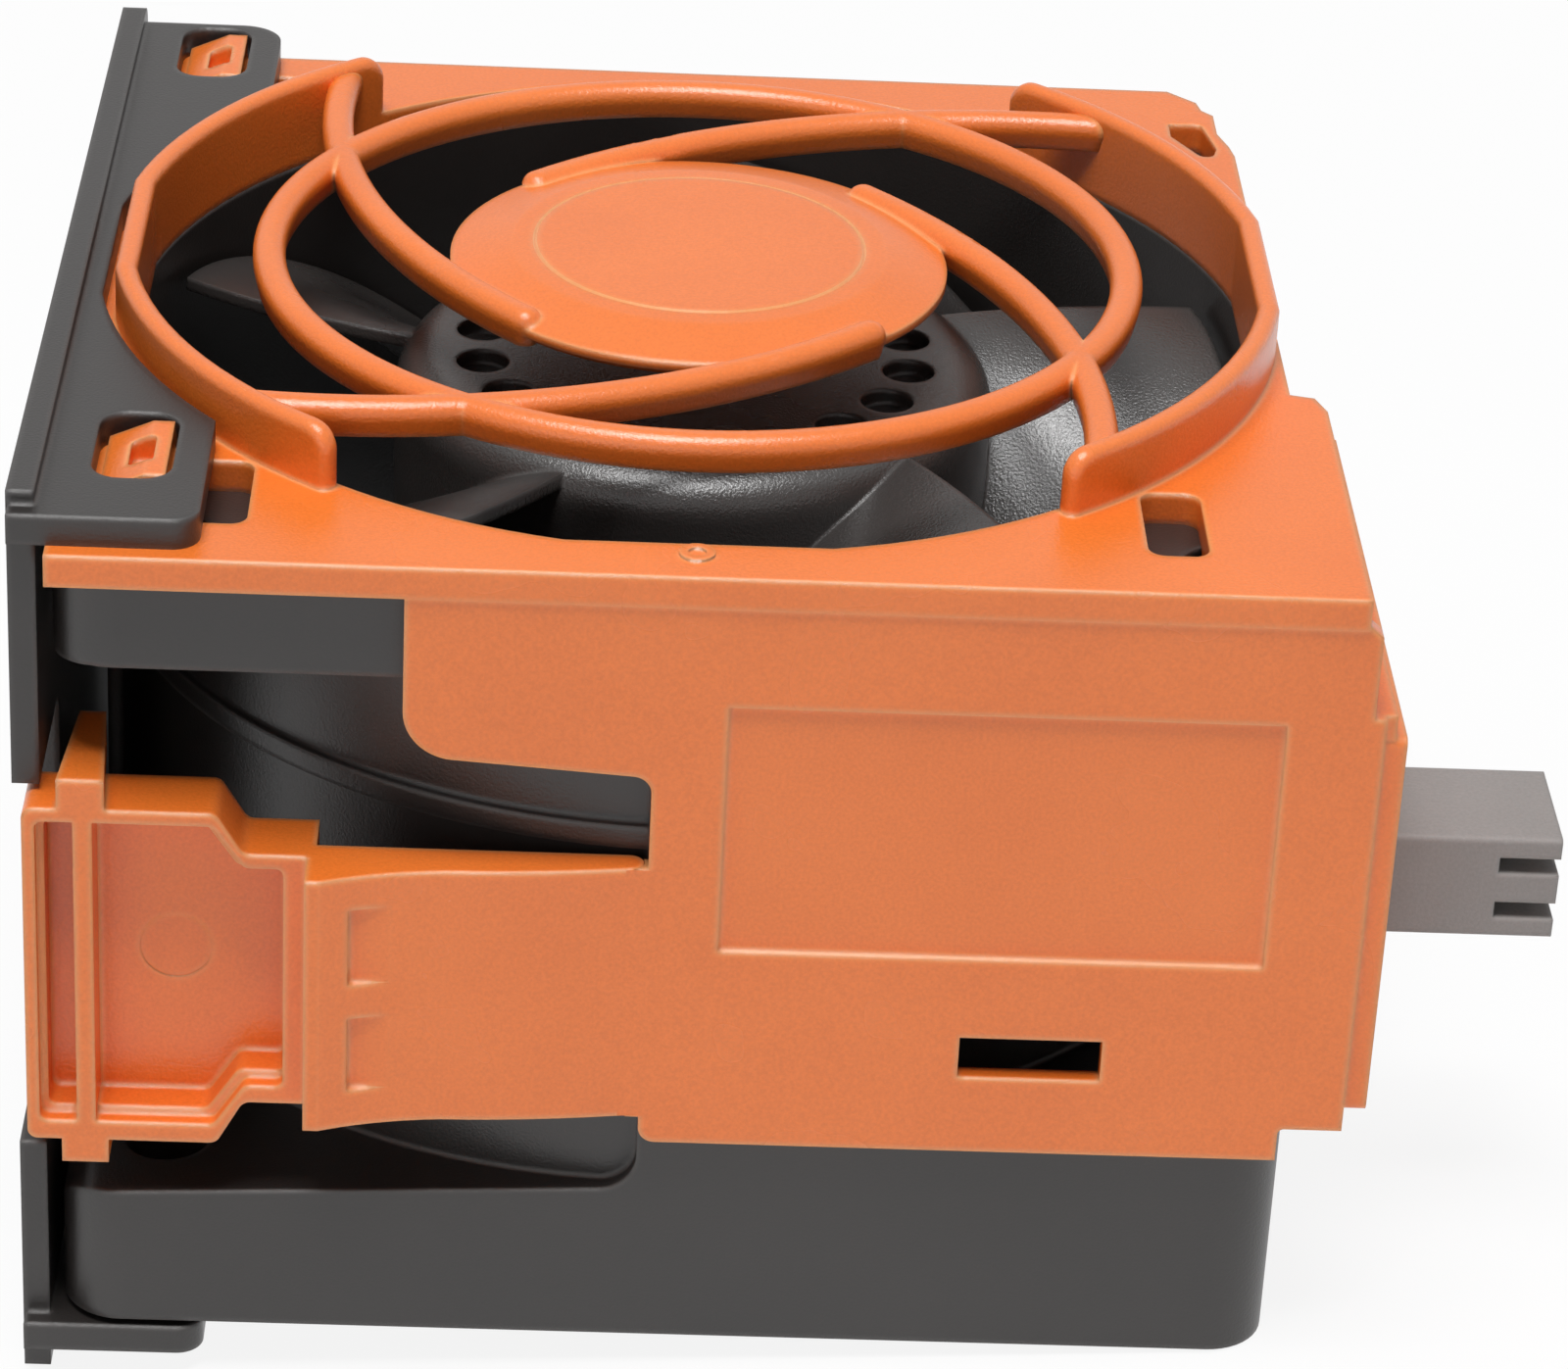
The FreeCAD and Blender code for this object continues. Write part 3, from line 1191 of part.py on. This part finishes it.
def make_plug_parts():
    plug = new_body("connector_housing")
    side = new_sketch(plug, "plug_side", "YZ", "plug_start")
    box_outline(side, neg("plug_front"), neg("plug_back"), "plug_bottom", "plug_top", "0.25")
    pad(plug, "plug", side, "plug_end - plug_start")
    for name, middle in (("upper", "plug_height + contact_pitch / 2"),
                         ("lower", "plug_height - contact_pitch / 2")):
        slot = new_sketch(plug, "plug_slot_side_" + name, "XZ", neg("plug_front + 1"))
        box_outline(slot, "plug_end - plug_slot_depth", "plug_end + 1",
                    "%s - plug_slot / 2" % middle, "%s + plug_slot / 2" % middle)
        pocket(plug, "plug_slot_" + name, slot, "plug_front - plug_back + 2", 1)
    ways = new_sketch(plug, "contact_way_side", "YZ", "plug_end - plug_slot_depth")
    for y, z in contact_spots():
        half = "(contact_side / 2 + 0.05)"
        box_outline(ways, "%s - %s" % (y, half), "%s + %s" % (y, half),
                    "%s - %s" % (z, half), "%s + %s" % (z, half))
    pocket(plug, "contact_ways", ways, "plug_end - plug_slot_depth - plug_start", -1)

    pieces = []
    for number, (y, z) in enumerate(contact_spots()):
        blade = doc.addObject("Part::Box", "contact_%d" % number)
        blade.setExpression("Length", ex("plug_end - plug_start - 1.2"))
        blade.setExpression("Width", ex("contact_side"))
        blade.setExpression("Height", ex("contact_side"))
        blade.setExpression("Placement.Base.x", ex("plug_start + 0.2"))
        blade.setExpression("Placement.Base.y", ex("0 + %s - contact_side / 2" % y))
        blade.setExpression("Placement.Base.z", ex("%s - contact_side / 2" % z))
        pieces.append(blade)
    contacts = doc.addObject("Part::Compound", "connector_contacts")
    contacts.Links = pieces
    contacts.Label = "connector_contacts"
    return [plug, contacts]


def bent_wire(spots, radius):
    """Wire of straight runs joined by arcs that touch both runs."""
    edges = []
    last = spots[0]
    for before, here, after in zip(spots, spots[1:], spots[2:]):
        back = (before - here).normalize()
        ahead = (after - here).normalize()
        half = back.getAngle(ahead) / 2
        cut = radius / math.tan(half)
        middle = (back + ahead).normalize() * (radius / math.sin(half) - radius)
        start, end = here + back * cut, here + ahead * cut
        edges.append(Part.LineSegment(last, start).toShape())
        edges.append(Part.Arc(start, here + middle, end).toShape())
        last = end
    edges.append(Part.LineSegment(last, spots[-1]).toShape())
    return Part.Wire(edges)


def make_leads():
    """Four insulated leads from the circuit board, along the wide strut, up to the plug."""
    angle = math.radians(val("lead_angle"))
    along = Vector(math.cos(angle), math.sin(angle), 0)
    across = Vector(-along.y, along.x, 0)
    level = Vector(0, 0, val("wire_height"))
    tubes = []
    for number, (y, z) in enumerate(contact_spots()):
        side = across * ((number - 1.5) * val("wire_pitch"))
        foot = along * val("wire_rise") + side
        end = Vector(val("plug_start - lead_gap"), val("0 + " + y), val(z))
        spots = [along * (val("board_radius") - 2.5) + side + level, foot + level,
                 foot + Vector(0, 0, end.z), end]
        path = bent_wire(spots, val("wire_bend"))
        section = Part.Wire(Part.makeCircle(val("wire_radius"), spots[0], along))
        tubes.append(path.makePipeShell([section], True, True))
    leads = doc.addObject("Part::Feature", "lead_wires")
    leads.Shape = Part.makeCompound(tubes)
    leads.Label = "lead_wires"
    return [leads]


# ---------------------------------------------------------------- the whole module

parts = [make_fan_frame(), make_carrier()]
guard = make_guard()
doc.recompute()
parts.append(trim_guard(guard))
parts.append(make_end_plate())
parts.append(make_release_latch())
parts.append(make_impeller())
parts += make_rotor_parts()
parts += make_bearings()
parts += make_stator_parts()
parts += make_board_parts()
parts += make_plug_parts()
parts += make_leads()
doc.recompute()

for item in doc.Objects:
    if "Invalid" in item.State or "Error" in item.State:
        raise RuntimeError("failed: %s %s" % (item.Name, item.State))
    cuts = item.TypeId in ("PartDesign::Pocket", "PartDesign::Groove")
    if cuts and item.Shape.Volume > item.BaseFeature.Shape.Volume - 1e-6:
        raise RuntimeError("cuts nothing: %s" % item.Name)

os.makedirs("parts", exist_ok=True)
for part in parts:
    shape = part.Shape
    if shape.isNull() or not shape.isValid() or not shape.Solids:
        raise RuntimeError("bad shape: %s" % part.Label)
    print("%-22s solids %2d  volume %10.2f" % (part.Label, len(shape.Solids), shape.Volume))
    shape.exportStep("parts/%s.step" % part.Label)
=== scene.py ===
import math

import bmesh
import bpy
from mathutils import Euler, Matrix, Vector


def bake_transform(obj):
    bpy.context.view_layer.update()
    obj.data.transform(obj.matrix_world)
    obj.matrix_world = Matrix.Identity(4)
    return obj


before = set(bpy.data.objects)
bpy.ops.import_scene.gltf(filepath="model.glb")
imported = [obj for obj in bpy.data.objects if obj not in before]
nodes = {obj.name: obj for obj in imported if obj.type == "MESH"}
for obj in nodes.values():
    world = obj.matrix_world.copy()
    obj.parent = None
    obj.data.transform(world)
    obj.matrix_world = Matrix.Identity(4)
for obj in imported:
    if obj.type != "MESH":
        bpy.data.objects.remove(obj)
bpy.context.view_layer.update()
scene = bpy.context.scene

# Lengths are in metres, as in the frame.
FRAME_HALF = 0.030  # half the side of the fan frame
FLOOR_DROP = 0.00002  # gap that keeps the floor off the faces standing on it
PHOTO_WIDTH = 1600  # pixels; the camera was solved in these
FOCAL_PIXELS = 5530.4
CENTRE_PIXELS = (-20.8, -26.2)
SENSOR_MM = 36.0


# ---------------------------------------------------------------- node helpers

def new_material(name):
    """New material with its node tree and its Principled shader."""
    mat = bpy.data.materials.new(name)
    mat.use_nodes = True
    tree = mat.node_tree
    shader = tree.nodes["Principled BSDF"]
    return mat, tree, shader


def link(tree, source, target):
    tree.links.new(source, target)


def noise(tree, scale, detail=4.0, rough=0.5):
    """Object-space noise; scale counts lumps per metre."""
    coord = tree.nodes.new("ShaderNodeTexCoord")
    node = tree.nodes.new("ShaderNodeTexNoise")
    node.inputs["Scale"].default_value = scale
    node.inputs["Detail"].default_value = detail
    node.inputs["Roughness"].default_value = rough
    link(tree, coord.outputs["Object"], node.inputs["Vector"])
    return node.outputs["Fac"]


def ramp(tree, source, stops):
    """Colours between the stops, given as pairs of place and colour."""
    node = tree.nodes.new("ShaderNodeValToRGB")
    elements = node.color_ramp.elements
    elements[0].position, elements[0].color = stops[0][0], stops[0][1]
    elements[1].position, elements[1].color = stops[-1][0], stops[-1][1]
    for place, colour in stops[1:-1]:
        element = elements.new(place)
        element.color = colour
    link(tree, source, node.inputs["Fac"])
    return node.outputs["Color"]


def span(tree, source, low, high):
    """A value from 0 to 1 moved to the range from low to high."""
    node = tree.nodes.new("ShaderNodeMapRange")
    node.inputs["To Min"].default_value = low
    node.inputs["To Max"].default_value = high
    link(tree, source, node.inputs["Value"])
    return node.outputs["Result"]


def maths(tree, operation, first, second):
    node = tree.nodes.new("ShaderNodeMath")
    node.operation = operation
    for socket, value in zip(node.inputs, (first, second)):
        if isinstance(value, (int, float)):
            socket.default_value = value
        else:
            link(tree, value, socket)
    return node.outputs[0]


def mix(tree, factor, first, second, blend="MIX"):
    """Mixed colour; inputs 6 and 7 and output 2 are the node's colour sockets."""
    node = tree.nodes.new("ShaderNodeMix")
    node.data_type = "RGBA"
    node.blend_type = blend
    for socket, value in ((node.inputs["Factor"], factor), (node.inputs[6], first),
                          (node.inputs[7], second)):
        if isinstance(value, (int, float, tuple)):
            socket.default_value = value
        else:
            link(tree, value, socket)
    return node.outputs[2]


def soft_edges(tree, radius):
    """Rounded edges for the shading, and a mask of where they are, which places the painted edge
    highlight.
    """
    bevel = tree.nodes.new("ShaderNodeBevel")
    bevel.samples = 6
    bevel.inputs["Radius"].default_value = radius
    plain = tree.nodes.new("ShaderNodeNewGeometry")
    dot = tree.nodes.new("ShaderNodeVectorMath")
    dot.operation = "DOT_PRODUCT"
    link(tree, bevel.outputs["Normal"], dot.inputs[0])
    link(tree, plain.outputs["Normal"], dot.inputs[1])
    edge = maths(tree, "SUBTRACT", 1.0, dot.outputs["Value"])
    edge = maths(tree, "MINIMUM", maths(tree, "MULTIPLY", edge, 4.0), 1.0)
    return bevel.outputs["Normal"], edge


def mix_shaders(tree, factor, first, second, output):
    """Mixes two shaders by the factor into the tree's output node."""
    node = tree.nodes.new("ShaderNodeMixShader")
    link(tree, factor, node.inputs["Fac"])
    link(tree, first, node.inputs[1])
    link(tree, second, node.inputs[2])
    link(tree, node.outputs["Shader"], tree.nodes[output].inputs["Surface"])


def bump(tree, height, strength, distance, normal=None):
    node = tree.nodes.new("ShaderNodeBump")
    node.inputs["Strength"].default_value = strength
    node.inputs["Distance"].default_value = distance
    link(tree, height, node.inputs["Height"])
    if normal is not None:
        link(tree, normal, node.inputs["Normal"])
    return node.outputs["Normal"]


def plastic(name, base, light, dark, rough, grain, grain_depth, edge=None, edge_highlight_gain=0.35,
            specular=0.5, bevel=0.00038):
    """Moulded plastic: faint flow marks, fine grain, softened edges, and a painted highlight of
    the lighter edge colour along them.
    """
    mat, tree, shader = new_material(name)
    normal, mask = soft_edges(tree, bevel)
    cloud = noise(tree, 90.0, 3.0, 0.55)
    fine = noise(tree, grain, 2.0, 0.6)
    colour = ramp(tree, cloud, [(0.2, dark), (0.5, base), (0.8, light)])
    speck = ramp(tree, fine, [(0.30, (0.93, 0.93, 0.93, 1)), (0.7, (1.05, 1.05, 1.05, 1))])
    colour = mix(tree, 1.0, colour, speck, "MULTIPLY")
    # The edge colour is a painted highlight, mixed in along the softened edges.
    if edge:
        colour = mix(tree, maths(tree, "MULTIPLY", mask, edge_highlight_gain), colour, edge)
    link(tree, colour, shader.inputs["Base Color"])
    link(tree, span(tree, cloud, rough[0], rough[1]), shader.inputs["Roughness"])
    shader.inputs["IOR"].default_value = 1.5
    shader.inputs["Specular IOR Level"].default_value = specular
    link(tree, bump(tree, fine, 0.5, grain_depth, normal), shader.inputs["Normal"])
    return mat


def metal(name, base, other, rough, scale, stretch=(1, 1, 1)):
    """Metal with a fine grain, which stretch turns into layers or strands."""
    mat, tree, shader = new_material(name)
    coord = tree.nodes.new("ShaderNodeTexCoord")
    mapping = tree.nodes.new("ShaderNodeMapping")
    mapping.inputs["Scale"].default_value = stretch
    link(tree, coord.outputs["Object"], mapping.inputs["Vector"])
    grain = tree.nodes.new("ShaderNodeTexNoise")
    grain.inputs["Scale"].default_value = scale
    grain.inputs["Detail"].default_value = 5.0
    link(tree, mapping.outputs["Vector"], grain.inputs["Vector"])
    colour = ramp(tree, grain.outputs["Fac"], [(0.3, base), (0.7, other)])
    link(tree, colour, shader.inputs["Base Color"])
    link(tree, span(tree, grain.outputs["Fac"], rough[0], rough[1]), shader.inputs["Roughness"])
    shader.inputs["Metallic"].default_value = 1.0
    link(tree, bump(tree, grain.outputs["Fac"], 0.3, 0.00003), shader.inputs["Normal"])
    return mat


# ---------------------------------------------------------------- materials

def orange_plastic(name, bevel):
    """The orange moulding; bevel is the radius of its softened edges."""
    # Painted highlight: the lighter colour (1.0, 0.50, 0.20) is mixed in along the edges.
    return plastic(name, (0.83, 0.187, 0.025, 1), (0.865, 0.202, 0.030, 1),
                   (0.79, 0.172, 0.021, 1), (0.22, 0.31), 5600.0, 0.00005,
                   (1.0, 0.50, 0.20, 1), 0.8, 0.75, bevel)


orange = orange_plastic("orange_moulding", 0.00055)
orange_skin = orange_plastic("orange_skin", 0.00001)  # no rounding, or its ends show as a seam
# Its lighter edge colour (0.10, 0.092, 0.088) is a painted highlight along the edges.
black = plastic("black_moulding", (0.0195, 0.0165, 0.0152, 1), (0.0235, 0.0200, 0.0186, 1),
                (0.0155, 0.0132, 0.0122, 1), (0.33, 0.43), 6500.0, 0.00004,
                (0.10, 0.092, 0.088, 1), 0.8, 0.75, 0.00050)
# Its lighter edge colour (0.08, 0.074, 0.070) is a painted highlight along the edges.
fan_black = plastic("impeller_moulding", (0.042, 0.0375, 0.0355, 1), (0.050, 0.045, 0.043, 1),
                    (0.034, 0.0305, 0.029, 1), (0.23, 0.31), 7000.0, 0.00007,
                    (0.08, 0.074, 0.070, 1), 0.4, 0.8)
# Its lighter edge colour (0.45, 0.42, 0.40) is a painted highlight along the edges.
grey = plastic("plug_moulding", (0.265, 0.250, 0.242, 1), (0.295, 0.278, 0.270, 1),
               (0.235, 0.222, 0.215, 1), (0.5, 0.62), 5200.0, 0.00003, (0.45, 0.42, 0.40, 1), 0.5)
white = plastic("bobbin_moulding", (0.68, 0.66, 0.58, 1), (0.74, 0.72, 0.64, 1),
                (0.60, 0.58, 0.50, 1), (0.45, 0.55), 5000.0, 0.00003)
board = plastic("board_lacquer", (0.02, 0.12, 0.05, 1), (0.03, 0.16, 0.07, 1),
                (0.015, 0.09, 0.04, 1), (0.3, 0.4), 3000.0, 0.00002)
chip = plastic("chip_moulding", (0.02, 0.02, 0.022, 1), (0.028, 0.028, 0.03, 1),
               (0.014, 0.014, 0.016, 1), (0.5, 0.6), 8000.0, 0.00002)
magnet = plastic("magnet_ferrite", (0.035, 0.035, 0.038, 1), (0.05, 0.05, 0.055, 1),
                 (0.025, 0.025, 0.028, 1), (0.6, 0.75), 5000.0, 0.00004)
sleeve = plastic("lead_sleeve", (0.35, 0.03, 0.02, 1), (0.42, 0.04, 0.03, 1),
                 (0.28, 0.02, 0.015, 1), (0.35, 0.45), 2500.0, 0.00002)
steel = metal("polished_steel", (0.62, 0.62, 0.64, 1), (0.48, 0.48, 0.50, 1), (0.15, 0.3), 900.0)
plated = metal("plated_steel", (0.55, 0.55, 0.57, 1), (0.42, 0.42, 0.44, 1), (0.25, 0.4), 500.0)
core = metal("core_sheet", (0.30, 0.30, 0.33, 1), (0.20, 0.20, 0.22, 1), (0.35, 0.5), 700.0,
             (0.2, 0.2, 8.0))
brass = metal("turned_brass", (0.78, 0.55, 0.22, 1), (0.66, 0.45, 0.17, 1), (0.2, 0.35), 900.0)
copper = metal("enamelled_copper", (0.75, 0.30, 0.13, 1), (0.55, 0.19, 0.08, 1), (0.25, 0.4),
               1400.0, (0.3, 0.3, 6.0))
tin = metal("tinned_copper", (0.72, 0.71, 0.68, 1), (0.60, 0.59, 0.56, 1), (0.2, 0.35), 900.0)

LOOKS = {
    "carrier": orange, "guard": orange, "release_latch": orange,
    "fan_frame": black, "end_plate": black, "impeller": fan_black,
    "connector_housing": grey, "connector_contacts": tin, "terminal_pins": tin,
    "insulator_lower": white, "insulator_upper": white, "circuit_board": board,
    "hall_sensor": chip, "control_chip": chip, "ring_magnet": magnet, "lead_wires": sleeve,
    "rotor_shaft": steel, "retaining_clip": steel, "preload_washer": steel,
    "bearing_outer_rings": steel, "bearing_inner_rings": steel, "rotor_yoke": plated,
    "stator_core": core, "bearing_tube": brass, "windings": copper,
}
for name, look in LOOKS.items():
    nodes[name].data.materials.clear()
    nodes[name].data.materials.append(look)


# ---------------------------------------------------------------- flexing root of the latch arm

# The photograph shows no seam between arm and skirt, so a thin skin lies across the hinge line.
# Its front stands 0.02 mm proud of the arm's face and runs down just under it at both ends.
SKIN_RISE = 0.00003
skin_mesh = bpy.data.meshes.new("latch_root_skin")
build = bmesh.new()
left, right, face, back = -0.0042, -0.0012, -0.03099, -0.03095
bottom, top, steps = 0.01352, 0.02728, 12
rows = []
for i in range(steps + 1):
    x = left + (right - left) * i / steps
    front = face - SKIN_RISE * min(1.0, 4.0 * min(i, steps - i) / steps)
    rows.append([build.verts.new((x, y, z)) for y, z in
                 ((front, bottom), (back, bottom), (back, top), (front, top))])
for before, after in zip(rows, rows[1:]):
    for j in range(4):
        build.faces.new((before[j - 1], before[j], after[j], after[j - 1]))
build.faces.new(rows[0])
build.faces.new(rows[-1])
bmesh.ops.recalc_face_normals(build, faces=build.faces)
build.to_mesh(skin_mesh)
build.free()
skin_piece = bpy.data.objects.new("latch_root_skin", skin_mesh)
scene.collection.objects.link(skin_piece)
skin_mesh.materials.append(orange_skin)
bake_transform(skin_piece)

# ---------------------------------------------------------------- camera, light and floor

camera_data = bpy.data.cameras.new("camera")
camera_data.sensor_width = SENSOR_MM
camera_data.lens = FOCAL_PIXELS / PHOTO_WIDTH * SENSOR_MM
camera_data.shift_x = CENTRE_PIXELS[0] / PHOTO_WIDTH
camera_data.shift_y = CENTRE_PIXELS[1] / PHOTO_WIDTH
camera_data.clip_start = 0.01
camera = bpy.data.objects.new("camera", camera_data)
camera.rotation_euler = Euler([math.radians(a) for a in (61.802, -2.8126, -1.1897)], "XYZ")
camera.location = (-0.005391, -0.251821, 0.157259)
scene.collection.objects.link(camera)
scene.camera = camera

# The module stands on the end plate's lower edge and the frame's lower right edge.
right_foot = Vector((FRAME_HALF, 0, 0.0))
slope, left_foot = max(
    (math.atan2(right_foot.z - v.co.z, right_foot.x - v.co.x), (v.co.x, 0, v.co.z))
    for v in nodes["end_plate"].data.vertices if v.co.x < 0)
left_foot = Vector(left_foot)

floor_mesh = bpy.data.meshes.new("floor")
build = bmesh.new()
bmesh.ops.create_grid(build, x_segments=2, y_segments=2, size=2.5)
build.to_mesh(floor_mesh)
build.free()
floor = bpy.data.objects.new("floor", floor_mesh)
floor.location = left_foot + Vector((0, 0, -FLOOR_DROP))
floor.rotation_euler = (0, -slope, 0)
scene.collection.objects.link(floor)

mat, tree, shader = new_material("floor_white")
paper = noise(tree, 12.0, 3.0)
link(tree, ramp(tree, paper, [(0.3, (0.86, 0.86, 0.86, 1)), (0.7, (0.89, 0.89, 0.89, 1))]),
     shader.inputs["Base Color"])
shader.inputs["Roughness"].default_value = 0.85
# Seen directly or mirrored, the floor is plain white, a little darker near the module, and it
# keeps its shading for all other light.
glow = tree.nodes.new("ShaderNodeEmission")
glow.inputs["Color"].default_value = (1, 1, 1, 1)
glow.inputs["Strength"].default_value = 1.0
path = tree.nodes.new("ShaderNodeLightPath")
seen = maths(tree, "MAXIMUM", path.outputs["Is Camera Ray"], path.outputs["Is Glossy Ray"])
coord = tree.nodes.new("ShaderNodeTexCoord")
far = tree.nodes.new("ShaderNodeVectorMath")
far.operation = "LENGTH"
link(tree, coord.outputs["Object"], far.inputs[0])
fade = tree.nodes.new("ShaderNodeMapRange")
for socket, value in (("From Min", 0.12), ("From Max", 0.45), ("To Min", 0.88), ("To Max", 1.0)):
    fade.inputs[socket].default_value = value
link(tree, far.outputs["Value"], fade.inputs["Value"])
seen = maths(tree, "MULTIPLY", seen, fade.outputs["Result"])
mix_shaders(tree, seen, shader.outputs["BSDF"], glow.outputs["Emission"], "Material Output")
floor_mesh.materials.append(mat)

# The world lights dimly, but is white to the camera.
world = bpy.data.worlds.new("studio")
scene.world = world
world.use_nodes = True
tree = world.node_tree
ground = tree.nodes["Background"]
ground.inputs["Color"].default_value = (1, 1, 1, 1)
ground.inputs["Strength"].default_value = 0.20
bright = tree.nodes.new("ShaderNodeBackground")
bright.inputs["Color"].default_value = (1, 1, 1, 1)
bright.inputs["Strength"].default_value = 1.0
path = tree.nodes.new("ShaderNodeLightPath")
either = maths(tree, "MULTIPLY", path.outputs["Is Glossy Ray"], 0.65)
either = maths(tree, "MAXIMUM", either, path.outputs["Is Camera Ray"])
either = maths(tree, "MAXIMUM", either, path.outputs["Is Transmission Ray"])
mix_shaders(tree, either, ground.outputs["Background"], bright.outputs["Background"],
            "World Output")


def lamp(name, place, target, size, power):
    """Rectangular area lamp at place, turned to the target."""
    data = bpy.data.lights.new(name, "AREA")
    data.shape = "RECTANGLE"
    data.size, data.size_y = size
    data.energy = power
    light = bpy.data.objects.new(name, data)
    light.location = place
    way = Vector(target) - Vector(place)
    light.rotation_euler = way.to_track_quat("-Z", "Y").to_euler()
    scene.collection.objects.link(light)


centre = (0.0, 0.0, 0.02)
lamp("key_box", (-0.06, -0.13, 0.78), centre, (0.42, 0.28), 4.4)
lamp("glint_box", (-0.05, -0.30, 0.80), centre, (0.16, 0.10), 1.6)
lamp("front_box", (-0.30, -0.74, 0.20), centre, (0.6, 0.4), 0.6)

scene.view_settings.view_transform = "Standard"
